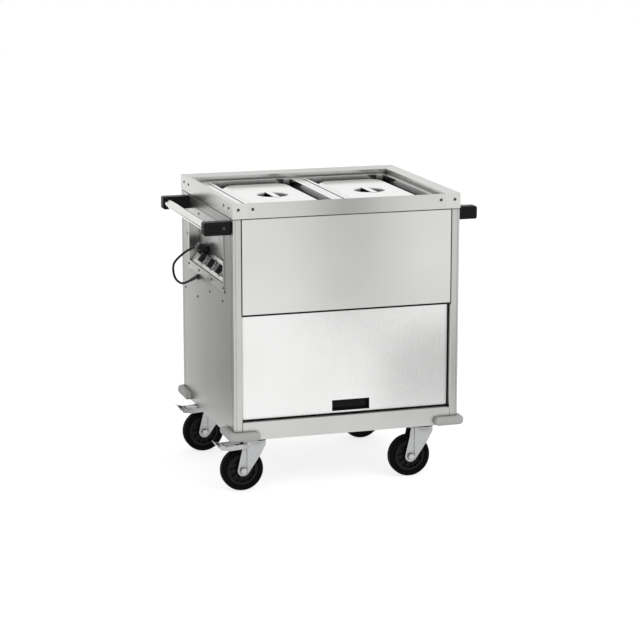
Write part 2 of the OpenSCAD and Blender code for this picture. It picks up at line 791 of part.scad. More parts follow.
// Skirted bar knob on its spindle
module knob() {
    difference() {
        union() {
            translate([0, 0, knob_gap]) cylinder(d = knob_d, h = skirt_t, $fn = 64);
            translate([0, 0, knob_gap + skirt_t - eps])
                cylinder(d1 = knob_d, d2 = knob_d - 5, h = skirt_slope, $fn = 64);
            intersection() {
                translate([0, 0, knob_base]) cylinder(d = knob_d - 3, h = knob_h - knob_base, $fn = 64);
                translate([-knob_d / 2, -bar_w / 2, knob_base]) cube([knob_d, bar_w, knob_h]);
            }
        }
        translate([knob_d / 2 - mark_l, -mark_w / 2, knob_h - 1]) cube([mark_l, mark_w, 3]);
    }
    translate([0, 0, -spindle_in]) cylinder(d = spindle_d, h = spindle_in + 2, $fn = 40);
}

module knob_1() color(black) on_fascia(knob_ys[0]) knob();
module knob_2() color(black) on_fascia(knob_ys[1]) knob();
module knob_3() color(black) on_fascia(knob_ys[2]) knob();

// ---------------------------------------------------------------- mains lead

function at_recess(p) = [-half_w - p[0], p[1], recess_z0 + p[2]];

function unit(v) = v / norm(v);

// A smooth curve through points a, b, c and d, from b to c
function between(a, b, c, d, t) = (2 * b + (c - a) * t + (2 * a - 5 * b + 4 * c - d) * t * t
    + (3 * b - a - 3 * c + d) * t * t * t) / 2;

gland_at = at_recess(gland_point);
cord_stops = [for (p = cord_points) at_recess(p)];
cord_last = len(cord_stops) - 1;
plug_at = cord_stops[cord_last];

// The stops with one more before the first and one past the last, which set the ends square
cord_span = concat(
    [cord_stops[0] - unit(cord_stops[0] - gland_at) * norm(cord_stops[1] - cord_stops[0])],
    cord_stops, [plug_at + cord_end * norm(plug_at - cord_stops[cord_last - 1])]);
cord_route = concat([for (i = [0 : cord_last - 1], k = [0 : cord_steps - 1])
    between(cord_span[i], cord_span[i + 1], cord_span[i + 2], cord_span[i + 3], k / cord_steps)],
    [plug_at]);

// Unit vectors along the route, set square at both ends
function route_dir(p, i) = i == 0 ? unit(p[0] - gland_at)
    : i == len(p) - 1 ? cord_end : unit(p[i + 1] - p[i - 1]);

// A normal carried along the route without twisting
function route_normal(p, i) = i == 0 ? unit(cross(route_dir(p, 0), [0, 0, 1]))
    : let (t = route_dir(p, i), n = route_normal(p, i - 1)) unit(n - (n * t) * t);

function tube_points(p, r, sides) = [for (i = [0 : len(p) - 1])
    let (t = route_dir(p, i), n = route_normal(p, i), b = cross(t, n))
    for (k = [0 : sides - 1])
        p[i] + r * (cos(360 * k / sides) * n + sin(360 * k / sides) * b)];

function tube_faces(rings, sides) = concat(
    [[for (k = [0 : sides - 1]) k]],
    [[for (k = [sides - 1 : -1 : 0]) (rings - 1) * sides + k]],
    [for (i = [0 : rings - 2], k = [0 : sides - 1])
        let (a = i * sides + k, b = i * sides + (k + 1) % sides) [a, a + sides, b]],
    [for (i = [0 : rings - 2], k = [0 : sides - 1])
        let (a = i * sides + k, b = i * sides + (k + 1) % sides) [b, a + sides, b + sides]]);

module mains_cord() color(black)
    polyhedron(tube_points(cord_route, cord_d / 2, cord_sides), tube_faces(len(cord_route), cord_sides));

// Turns +Z to point along v
module aim(v) rotate([0, acos(v[2] / norm(v)), atan2(v[1], v[0])]) children();

// Elbow bushing on the panel with a tapered strain relief
module cable_gland() color(black) {
    boot = cord_route[0] - gland_at;
    translate([-half_w, gland_at[1], gland_at[2]]) rotate([0, -90, 0])
        cylinder(d = gland_disc_d, h = gland_disc_t, $fn = 48);
    translate([-half_w - gland_disc_t + eps, gland_at[1], gland_at[2]]) rotate([0, 90, 0])
        cylinder(d = gland_d, h = gland_disc_t + 5 * sheet, $fn = 40);
    translate(gland_at) sphere(d = gland_d + 1, $fn = 48);
    translate(gland_at) aim(boot) cylinder(d1 = gland_d, d2 = cord_d + 2, h = norm(boot), $fn = 40);
}

// Round plug parked with its pins to the front
module mains_plug() color(black) translate(plug_at) rotate([90, 0, 0]) {
    rotate_extrude($fn = 64) polygon([[0, 0], [cord_d / 2 + 1.5, 0], [cord_d / 2 + 3, plug_boot],
        [plug_r - 4, plug_boot + 1], [plug_r, plug_boot + plug_taper],
        [plug_r, plug_boot + plug_taper + plug_body - 2],
        [plug_r - 1.5, plug_boot + plug_taper + plug_body], [0, plug_boot + plug_taper + plug_body]]);
    for (sx = [-1, 1]) translate([sx * pin_gap / 2, 0, plug_boot + plug_taper + plug_body - 2])
        cylinder(d = pin_d, h = pin_l + 2, $fn = 32);
}

// Open clip on the recess's back wall that holds the parked plug
module plug_holder() color(steel) translate([plug_at[0],
        plug_at[1] - plug_boot - plug_taper - plug_body / 2, plug_at[2]]) difference() {
    union() {
        rod_y(2 * (plug_r + clip_wall), -clip_l / 2, clip_l / 2);
        block([plug_r / 2, -clip_l / 2, -plug_r / 3], [recess_x - plug_at[0], clip_l / 2, plug_r]);
    }
    rod_y(2 * plug_r + 0.4, -clip_l, clip_l);
    block([-2 * plug_r, -clip_l, -2 * plug_r], [-clip_mouth, clip_l, 2 * plug_r]);
    block([recess_x - plug_at[0], -clip_l, -2 * plug_r], [3 * plug_r, clip_l, 2 * plug_r]);
}

// ---------------------------------------------------------------- handles

// The left handle sits nearer the front; the right one is the same turned round
module handle_side(right) rotate([0, 0, right ? 180 : 0]) children();

module handle_tube(right) handle_side(right)
    translate([-tube_x, 0, handle_z]) difference() {
        rod_y(tube_d, -handle_near + bracket_w - socket_l, handle_far - bracket_w + socket_l);
        rod_y(tube_d - 2 * tube_wall, -handle_near, handle_far);
    }

// Moulded corner bracket with a blind socket for the tube and grooves on its end
module handle_bracket() difference() {
    translate([-half_w - handle_out / 2, bracket_w / 2, handle_z]) rotate([90, 0, 0])
        linear_extrude(bracket_w, center = true) rounded_rect(handle_out, bracket_h, bracket_r);
    translate([-tube_x, 0, handle_z]) rod_y(tube_d + 2 * tube_clear, bracket_w - socket_l, bracket_w + 1);
    for (i = [0 : groove_n - 1])
        translate([-half_w - handle_out + groove_in, -1,
            handle_z + (i - (groove_n - 1) / 2) * groove_pitch - groove_h / 2])
            cube([groove_l, groove_deep + 1, groove_h]);
    translate([-half_w - bracket_screw_x, 0, handle_z]) rod_y(bracket_screw_d + 0.6, -1, bracket_sink);
}

module handle_brackets(right) handle_side(right) {
    translate([0, -handle_near, 0]) handle_bracket();
    translate([0, handle_far, 0]) mirror([0, 1, 0]) handle_bracket();
}

module handle_tube_left() color("gainsboro") handle_tube(false);
module handle_tube_right() color("gainsboro") handle_tube(true);
module handle_brackets_left() color(black) handle_brackets(false);
module handle_brackets_right() color(black) handle_brackets(true);

// Domed screw head, +Z out of the surface
module screw_head(d) cylinder(d1 = d, d2 = d * 0.62, h = screw_t, $fn = 32);

module side_screw(x, p, d) translate([x, p[0], p[1]]) rotate([0, -90, 0]) screw_head(d);

// Screws of the rim, the left side panel, the control tub and the brackets
module body_screws() color(steel) {
    four_corners() {
        for (d = rim_screws_x) translate([rim_hw - d, -rim_hd, rim_screw_z]) rotate([90, 0, 0])
            screw_head(screw_d);
        for (d = rim_screws_y) side_screw(-rim_hw, [rim_hd - d, rim_screw_z], screw_d);
    }
    for (p = side_screws) side_screw(-half_w, p, side_screw_d);
    for (p = tub_screws) side_screw(-half_w - tub_sheet, p, screw_d);
    for (right = [false, true]) handle_side(right)
        for (end = [[-handle_near + bracket_sink, 90], [handle_far - bracket_sink, -90]])
            translate([-half_w - bracket_screw_x, end[0], handle_z]) rotate([end[1], 0, 0])
                cylinder(d = bracket_screw_d, h = 2, $fn = 32);
}

// ---------------------------------------------------------------- bumpers

// Flat against the body, rounded on the outside
module bumper_profile() {
    square([bumper_t / 2, bumper_h]);
    translate([0, bumper_t / 2]) square([bumper_t, bumper_h - bumper_t]);
    for (z = [bumper_t / 2, bumper_h - bumper_t / 2])
        translate([bumper_t / 2, z]) circle(d = bumper_t, $fn = 48);
}

module bumper_arm(l) intersection() {
    rotate([90, 0, 0]) mirror([1, 0, 0]) linear_extrude(l) bumper_profile();
    translate([-2 * bumper_t, -l, 0]) rotate([90, 0, 90]) linear_extrude(4 * bumper_t)
        translate([l / 2 + 10, bumper_h / 2]) rounded_rect(l + 20, bumper_h, bumper_h / 2 - 1);
}

module bumpers() color("gray") four_corners() translate([-half_w, -half_d, base_z]) union() {
    mirror([0, 1, 0]) bumper_arm(bumper_y);
    rotate([0, 0, 90]) bumper_arm(bumper_x);
    rotate([0, 0, 180]) rotate_extrude(angle = 90, $fn = 48) bumper_profile();
}

// ---------------------------------------------------------------- casters

module at_caster(c) translate([c[1] * swivel_x, c[2] * swivel_y, 0]) children();

// Top plate, raceway and riveted swivel pin
module caster_plate() {
    difference() {
        rounded_block(plate_l, plate_w, 6, base_z - plate_t, base_z);
        for (bx = [-1, 1], by = [-1, 1]) translate([bx * bolt_x, by * bolt_y, base_z - plate_t - 1])
            cylinder(d = bolt_hole, h = plate_t + 2, $fn = 32);
    }
    translate([0, 0, crown_top + crown_gap]) rotate_extrude($fn = 64)
        polygon([[0, 0], [crown_r - 2, 0], [crown_r, 3], [crown_r - 5, 9],
            [crown_r - 3, base_z - plate_t - crown_top - crown_gap], [0, base_z - plate_t - crown_top - crown_gap]]);
    translate([0, 0, crown_top - crown_t - 7]) {
        cylinder(d = king_d, h = 12 + crown_t, $fn = 48);
        cylinder(d = king_d + 8, h = 6.5, $fn = 48);
    }
}

module caster_plates() color("gainsboro") for (c = CASTERS) at_caster(c) caster_plate();

module caster_bolts() color(steel) for (c = CASTERS) at_caster(c)
    for (bx = [-1, 1], by = [-1, 1]) translate([bx * bolt_x, by * bolt_y, 0]) {
        translate([0, 0, base_z - plate_t - bolt_head_h])
            cylinder(d = bolt_head_d, h = bolt_head_h, $fn = 6);
        translate([0, 0, base_z - plate_t - eps])
            cylinder(d = bolt_d, h = plate_t + tray_t + pad_t + bolt_nut_h + 1.5, $fn = 32);
        translate([0, 0, base_z + tray_t + pad_t]) cylinder(d = bolt_head_d, h = bolt_nut_h, $fn = 6);
    }

// Angle at which the line from p touches a circle
function touch(c, r, p, side) = let (v = p - c) atan2(v[1], v[0]) + side * acos(r / norm(v));

function arc(c, r, a0, a1, n) = [for (i = [0 : n]) let (a = a0 + (a1 - a0) * i / n)
    c + r * [cos(a), sin(a)]];

leg_axle = [-trail, axle_z];
leg_top_l = [-trail + 2, crown_top];
leg_mid_l = [-trail - 3, crown_top - 26];
leg_mid_r = [9, crown_top - 44];
leg_top_r = [25, crown_top - 14];

module leg_outline() polygon(concat([leg_top_l, leg_mid_l],
    arc(leg_axle, leg_r, touch(leg_axle, leg_r, leg_mid_l, 1),
        touch(leg_axle, leg_r, leg_mid_r, -1) + 360, 24),
    [leg_mid_r, leg_top_r, [leg_top_r[0], crown_top]]));

// Pressed fork leg with its forward part stepped outwards
module fork_leg() {
    translate([0, leg_y + fork_t, 0]) rotate([90, 0, 0]) linear_extrude(fork_t) leg_outline();
    translate([0, leg_y + fork_t + leg_step, 0]) rotate([90, 0, 0]) linear_extrude(leg_step + fork_t / 2)
        intersection() {
            leg_outline();
            translate([leg_step_x, 0]) square([100, crown_top]);
        }
}

module fork(braked) difference() {
    union() {
        mirror_pair([0, 1, 0]) fork_leg();
        block([leg_top_l[0], -leg_y - fork_t / 2, crown_top - crown_t],
            [leg_top_r[0], leg_y + fork_t / 2, crown_top]);
        translate([0, 0, crown_top - crown_t]) cylinder(r = crown_r, h = crown_t, $fn = 64);
        if (braked) translate([brake_x, 0, brake_z]) rod_y(brake_pin_d, -arm_y - arm_t - 1, arm_y + arm_t + 1);
    }
    translate([0, 0, crown_top - 20]) cylinder(d = king_d + 2 * run_clear, h = 30, $fn = 48);
    translate([-trail, 0, axle_z]) rod_y(axle_d + 0.2, -50, 50);
}

// Axle bolt with hexagon head, washers and nut
module axle() translate([-trail, 0, axle_z]) {
    rod_y(axle_d, -leg_y - fork_t - 8, leg_y + fork_t + 12);
    for (s = [-1, 1]) {
        translate([0, s * (leg_y + fork_t + washer_t / 2), 0]) rod_y(washer_d, -washer_t / 2, washer_t / 2);
        translate([0, s * (leg_y + fork_t + washer_t + axle_nut_h / 2), 0]) rotate([90, 0, 0])
            cylinder(d = axle_nut_d, h = axle_nut_h, center = true, $fn = 6);
    }
}

// Ribbed plastic wheel centre, bored for the axle
module hub() translate([-trail, 0, axle_z]) rotate([90, 0, 0]) difference() {
    union() {
        rotate_extrude($fn = 72) polygon([[0, -hub_w / 2], [boss_r - 2, -hub_w / 2],
            [boss_r, -hub_w / 2 + 3], [boss_r, -web_t / 2], [hub_d / 2 - rim_t, -web_t / 2],
            [hub_d / 2 - rim_t + 1, -tyre_w / 2 + 3], [hub_d / 2, -tyre_w / 2 + 3],
            [hub_d / 2, tyre_w / 2 - 3], [hub_d / 2 - rim_t + 1, tyre_w / 2 - 3],
            [hub_d / 2 - rim_t, web_t / 2], [boss_r, web_t / 2], [boss_r, hub_w / 2 - 3],
            [boss_r - 2, hub_w / 2], [0, hub_w / 2]]);
        for (i = [0 : rib_n - 1]) rotate([0, 0, i * 360 / rib_n])
            translate([boss_r - 3, -rib_t / 2, -tyre_w / 2 + 5])
                cube([hub_d / 2 - rim_t - boss_r + 6, rib_t, tyre_w - 10]);
    }
    translate([0, 0, -hub_w]) cylinder(d = axle_d + 2 * run_clear, h = 2 * hub_w, $fn = 48);
}

// Rubber tyre with rounded shoulders round the wheel centre
module tyre() translate([-trail, 0, axle_z]) rotate([90, 0, 0]) rotate_extrude($fn = 96) difference() {
    union() {
        translate([tyre_bore, -tyre_w / 2]) square([wheel_d / 2 - tyre_bore - tyre_round, tyre_w]);
        translate([tyre_bore, -tyre_w / 2 + tyre_round])
            square([wheel_d / 2 - tyre_bore, tyre_w - 2 * tyre_round]);
        for (s = [-1, 1]) translate([wheel_d / 2 - tyre_round, s * (tyre_w / 2 - tyre_round)])
            circle(tyre_round, $fn = 48);
    }
    for (s = [-1, 1]) translate([hub_d / 2 + 5.5, s * tyre_w / 2]) circle(tyre_line, $fn = 24);
}

// Foot pedal: two arms outside the fork, a tread between them and the brake shoe
tread_l = 46;
tread_x = brake_x - 34;
tip_x = brake_x - 82;
shoe_gap = 3;

module brake_arm_outline() {
    translate([brake_x, brake_z]) circle(7, $fn = 48);
    polygon([[brake_x, brake_z + 7], [tread_x - 28, brake_z + 3], [tip_x + 4, brake_z + 7],
        [tip_x + 10, brake_z - 6], [tread_x - 10, brake_z - 10], [brake_x, brake_z - 7]]);
}

module brake_pedal() color("gainsboro") difference() {
    union() {
        mirror_pair([0, 1, 0]) translate([0, arm_y + arm_t, 0]) rotate([90, 0, 0])
            linear_extrude(arm_t) brake_arm_outline();
        block([tread_x - tread_l / 2, -arm_y - eps, brake_z + 0.5], [tread_x + tread_l / 2 - 16, arm_y + eps, brake_z + 4]);
        translate([0, arm_y + arm_t, 0]) rotate([90, 0, 0]) linear_extrude(2 * (arm_y + arm_t))
            polygon([[tip_x - 4, brake_z + 12], [tip_x - 2, brake_z + 12], [tip_x + 4, brake_z + 4],
                [tip_x + 18, brake_z - 3], [tip_x + 17, brake_z - 6], [tip_x + 2, brake_z + 2]]);
        block([brake_x - 16, -tyre_w / 2 + 4, wheel_d + shoe_gap], [brake_x - 6, tyre_w / 2 - 4, brake_z + 4]);
        block([tread_x - 10, -8, brake_z + 0.5], [brake_x - 6, 8, brake_z + 4]);
    }
    translate([brake_x, 0, brake_z]) rod_y(brake_pin_d + 2 * run_clear, -60, 60);
}

module fork_fl() color("gainsboro") at_caster(CASTERS[0]) fork(true);
module fork_fr() color("gainsboro") at_caster(CASTERS[1]) fork(false);
module fork_rl() color("gainsboro") at_caster(CASTERS[2]) fork(true);
module fork_rr() color("gainsboro") at_caster(CASTERS[3]) fork(false);
module axle_fl() color(steel) at_caster(CASTERS[0]) axle();
module axle_fr() color(steel) at_caster(CASTERS[1]) axle();
module axle_rl() color(steel) at_caster(CASTERS[2]) axle();
module axle_rr() color(steel) at_caster(CASTERS[3]) axle();
module hub_fl() color("dimgray") at_caster(CASTERS[0]) hub();
module hub_fr() color("dimgray") at_caster(CASTERS[1]) hub();
module hub_rl() color("dimgray") at_caster(CASTERS[2]) hub();
module hub_rr() color("dimgray") at_caster(CASTERS[3]) hub();
module tyre_fl() color(black) at_caster(CASTERS[0]) tyre();
module tyre_fr() color(black) at_caster(CASTERS[1]) tyre();
module tyre_rl() color(black) at_caster(CASTERS[2]) tyre();
module tyre_rr() color(black) at_caster(CASTERS[3]) tyre();
module brake_pedal_fl() at_caster(CASTERS[0]) brake_pedal();
module brake_pedal_rl() at_caster(CASTERS[2]) brake_pedal();

base_frame();
corner_posts();
left_side_panel();
right_side_panel();
rear_panel();
upper_front_panel();
heat_baffle();
door_tracks();
cupboard_liner();
cupboard_shelf();
cupboard_heater();
deck();
top_rim();
rim_corners();
well_left();
well_right();
well_heaters();
control_tub();
thermostats();
plug_holder();
cable_gland();
mains_cord();
mains_plug();
handle_tube_left();
handle_tube_right();
handle_brackets_left();
handle_brackets_right();
bumpers();
body_screws();
caster_plates();
caster_bolts();
fork_fl();
fork_fr();
fork_rl();
fork_rr();
axle_fl();
axle_fr();
axle_rl();
axle_rr();
hub_fl();
hub_fr();
hub_rl();
hub_rr();
tyre_fl();
tyre_fr();
tyre_rl();
tyre_rr();
brake_pedal_fl();
brake_pedal_rl();
door_panel();
door_back();
door_grip();
door_shoes();
knob_1();
knob_2();
knob_3();
pan_left();
pan_right();
lid_left();
lid_right();
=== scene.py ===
import json
import math

import bpy
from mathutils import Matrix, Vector


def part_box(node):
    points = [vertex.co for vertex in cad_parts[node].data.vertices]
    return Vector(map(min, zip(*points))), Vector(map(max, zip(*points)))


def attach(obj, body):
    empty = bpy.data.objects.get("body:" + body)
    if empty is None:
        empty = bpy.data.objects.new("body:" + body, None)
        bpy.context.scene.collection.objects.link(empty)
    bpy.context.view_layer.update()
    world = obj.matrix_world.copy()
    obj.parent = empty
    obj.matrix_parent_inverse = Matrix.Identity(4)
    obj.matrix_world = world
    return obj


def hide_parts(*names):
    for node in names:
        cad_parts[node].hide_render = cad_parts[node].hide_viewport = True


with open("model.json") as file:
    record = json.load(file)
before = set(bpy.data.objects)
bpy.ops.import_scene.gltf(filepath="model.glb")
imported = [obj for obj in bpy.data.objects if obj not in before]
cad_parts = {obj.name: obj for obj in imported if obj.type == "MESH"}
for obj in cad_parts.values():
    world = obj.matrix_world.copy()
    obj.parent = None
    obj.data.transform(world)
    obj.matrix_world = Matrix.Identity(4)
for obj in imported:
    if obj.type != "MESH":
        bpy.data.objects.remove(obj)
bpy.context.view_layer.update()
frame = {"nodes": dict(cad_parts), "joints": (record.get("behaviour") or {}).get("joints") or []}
nodes = frame["nodes"]
scene = bpy.context.scene

# ------------------------------------------------------------------ camera

AIM = Vector((0.01028, 0.0, 0.43618))
AZIMUTH = math.radians(-17.41)
ELEVATION = math.radians(12.17)
DISTANCE = 6.528
FOCAL_PIXELS = 2180.65
FRAME_PIXELS = 640
SENSOR = 36.0

camera_data = bpy.data.cameras.new("camera")
camera_data.sensor_width = SENSOR
camera_data.lens = FOCAL_PIXELS / FRAME_PIXELS * SENSOR
camera_data.clip_end = 60
camera = bpy.data.objects.new("camera", camera_data)
scene.collection.objects.link(camera)
away = Vector((math.sin(AZIMUTH) * math.cos(ELEVATION),
               -math.cos(AZIMUTH) * math.cos(ELEVATION), math.sin(ELEVATION)))
camera.location = AIM + DISTANCE * away
camera.rotation_euler = (-away).to_track_quat("-Z", "Y").to_euler()
scene.camera = camera
scene.view_settings.view_transform = "Standard"

# --------------------------------------------------------------- materials
# Lengths here are in metres, and a noise's scale is in features to the metre.

NOISE_LOW, NOISE_HIGH = 0.3, 0.7
ALL_WAYS = (1, 1, 1)
STRETCH = {"x": (1, 40, 40), "z": (40, 40, 1)}
CLOSE_SURFACE_SAMPLES = 6
ROUND_EDGE_SAMPLES = 4

# The grip cup in the middle of a lid, the share of the lid's height that it sinks from, and the
# grey of the dark reflection painted inside it
LID_SIZE = (0.246, 0.484)
CUP_RADIUS = 0.05
CUP_FADE = 0.006
CUP_FROM, CUP_FULL = 0.92, 0.8
CUP_REFLECTION_GREY = (0.09, 0.09, 0.09, 1)


class Nodes:
    """A material's node tree, with short calls for the nodes used here."""

    def __init__(self, name, colour, rough, metal=0.0, **sockets):
        self.material = bpy.data.materials.new(name)
        self.material.use_nodes = True
        self.tree = self.material.node_tree
        self.shader = self.tree.nodes["Principled BSDF"]
        self.set("Base Color", (*colour, 1))
        self.set("Roughness", rough)
        self.set("Metallic", metal)
        for key, value in sockets.items():
            self.set(key.replace("_", " "), value)
        self.colour, self.rough = colour, rough
        self.coords = self.tree.nodes.new("ShaderNodeTexCoord").outputs["Object"]
        self.normal = None

    def set(self, socket, value):
        self.shader.inputs[socket].default_value = value

    def new(self, kind, **inputs):
        """A new node, each input given as a value or as the output that feeds it."""
        node = self.tree.nodes.new("ShaderNode" + kind)
        for key, value in inputs.items():
            socket = node.inputs[key.replace("_", " ")]
            if isinstance(value, bpy.types.NodeSocket):
                self.tree.links.new(value, socket)
            else:
                socket.default_value = value
        return node

    def link(self, output, socket):
        self.tree.links.new(output, self.shader.inputs[socket])

    def noise(self, scale, detail, stretch=ALL_WAYS, rough=0.55):
        mapped = self.new("Mapping", Vector=self.coords, Scale=stretch)
        return self.new("TexNoise", Vector=mapped.outputs[0], Scale=scale, Detail=detail,
                        Roughness=rough).outputs["Fac"]

    def spread(self, value, low, high, start=NOISE_LOW, end=NOISE_HIGH):
        """Takes values between start and end to values between low and high."""
        node = self.new("MapRange", Value=value)
        limits = {"From Min": start, "From Max": end, "To Min": low, "To Max": high}
        for key, limit in limits.items():
            node.inputs[key].default_value = limit
        return node.outputs[0]

    def vary_roughness(self, value, amount):
        self.link(self.spread(value, self.rough - amount, self.rough + amount), "Roughness")

    def vary_colour(self, value, amount, tint=(1, 1, 1)):
        ramp = self.new("ValToRGB", Fac=value)
        ends = ramp.color_ramp.elements
        for end, position, side in zip(ends, (NOISE_LOW, NOISE_HIGH), (-1, 1)):
            end.position = position
            shade = [max(0, c * (1 + side * amount * t)) for c, t in zip(self.colour, tint)]
            end.color = (*shade, 1)
        self.link(ramp.outputs[0], "Base Color")
        return ramp.outputs[0]

    def painted_crevice_shade(self, colour, reach, darkest, start=0.2, end=0.85):
        """Painted shade: darker where other surfaces stand close, in seams, corners and grooves.
        """
        near = self.new("AmbientOcclusion", Distance=reach)
        near.samples = CLOSE_SURFACE_SAMPLES
        grey = self.spread(near.outputs["AO"], darkest, 1.0, start, end)
        product = self.new("MixRGB", Fac=1.0, Color1=colour, Color2=grey)
        product.blend_type = "MULTIPLY"
        self.link(product.outputs[0], "Base Color")

    def painted_cup_reflection(self, colour):
        """Painted dark reflection inside the round grip cup in the middle of a lid."""
        whole = self.tree.nodes.new("ShaderNodeTexCoord").outputs["Generated"]
        middle = self.new("Mapping", Vector=whole, Scale=[*LID_SIZE, 0],
                          Location=[-side / 2 for side in LID_SIZE] + [0])
        radius = self.new("VectorMath", Vector=middle.outputs[0])
        radius.operation = "LENGTH"
        inside = self.spread(radius.outputs["Value"], 1.0, 0.0, CUP_RADIUS - CUP_FADE, CUP_RADIUS)
        height = self.new("SeparateXYZ", Vector=whole).outputs["Z"]
        below = self.spread(height, 1.0, 0.0, CUP_FULL, CUP_FROM)
        both = self.new("Math")
        both.operation = "MULTIPLY"
        self.tree.links.new(inside, both.inputs[0])
        self.tree.links.new(below, both.inputs[1])
        return self.new("MixRGB", Fac=both.outputs[0], Color1=colour, Color2=CUP_REFLECTION_GREY).outputs[0]

    def round_edges(self, radius):
        node = self.new("Bevel", Radius=radius)
        node.samples = ROUND_EDGE_SAMPLES
        self.normal = node.outputs[0]
        self.link(self.normal, "Normal")

    def bump(self, value, distance, strength):
        """Small relief on top of the rounded edges."""
        node = self.new("Bump", Height=value, Distance=distance, Strength=strength,
                        Normal=self.normal)
        self.link(node.outputs[0], "Normal")


def brushed(name, colour, rough, grain):
    """Sheet steel with fine lines along one axis."""
    m = Nodes(name, colour, rough, metal=1.0)
    m.round_edges(0.0008)
    lines = m.noise(scale=26, detail=5, stretch=STRETCH[grain])
    clouds = m.noise(scale=3.2, detail=3)
    tone = m.vary_colour(clouds, amount=0.04, tint=(1, 1, 1.1))
    m.painted_crevice_shade(tone, reach=0.012, darkest=0.15, start=0.3, end=0.9)
    m.vary_roughness(lines, amount=0.02)
    m.bump(lines, distance=0.00004, strength=0.05)
    return m.material


def polished(name, colour, rough, edge=0.001, reach=0.02, darkest=0.12, shut=0.4, cup=False):
    """Bright steel with faint smears; reach, darkest and shut say how its painted crevice shade
    darkens, and cup adds a painted dark reflection in a lid's grip cup.
    """
    m = Nodes(name, colour, rough, metal=1.0)
    m.round_edges(edge)
    smears = m.noise(scale=7, detail=5, stretch=(1, 1.6, 1), rough=0.6)
    m.vary_roughness(smears, amount=0.04)
    tone = m.vary_colour(smears, amount=0.025)
    m.painted_crevice_shade(m.painted_cup_reflection(tone) if cup else tone, reach, darkest, start=shut, end=0.92)
    m.bump(m.noise(scale=60, detail=3), distance=0.00004, strength=0.4)
    return m.material


def zinc(name, colour, rough):
    """Zinc-plated steel with a faint spangle."""
    m = Nodes(name, colour, rough, metal=1.0)
    m.round_edges(0.0006)
    spangle = m.new("TexVoronoi", Vector=m.coords, Scale=90.0).outputs["Distance"]
    tone = m.vary_colour(spangle, amount=0.02, tint=(1, 1, 1.06))
    m.painted_crevice_shade(tone, reach=0.02, darkest=0.1, start=0.3, end=0.95)
    m.vary_roughness(m.noise(scale=30, detail=4), amount=0.04)
    m.bump(m.noise(scale=120, detail=3), distance=0.00002, strength=0.3)
    return m.material


def moulded(name, colour, rough, grain=900, depth=0.00006, sheen=0.25):
    """Moulded plastic with a fine even grain."""
    m = Nodes(name, colour, rough, Specular_IOR_Level=sheen)
    m.round_edges(0.0009)
    m.vary_roughness(m.noise(scale=18, detail=4), amount=0.07)
    m.painted_crevice_shade(m.vary_colour(m.noise(scale=9, detail=3), amount=0.12), reach=0.01, darkest=0.1)
    m.bump(m.noise(scale=grain, detail=2), distance=depth, strength=0.6)
    return m.material


def rubber(name, colour, rough, scuff, sheen=0.2):
    """Dull rubber, paler where it is dusty and scuffed."""
    m = Nodes(name, colour, rough, Specular_IOR_Level=sheen)
    m.round_edges(0.0012)
    m.vary_colour(m.noise(scale=24, detail=6, rough=0.65), amount=scuff)
    m.vary_roughness(m.noise(scale=60, detail=4), amount=0.08)
    m.bump(m.noise(scale=500, detail=3), distance=0.0001, strength=0.6)
    return m.material


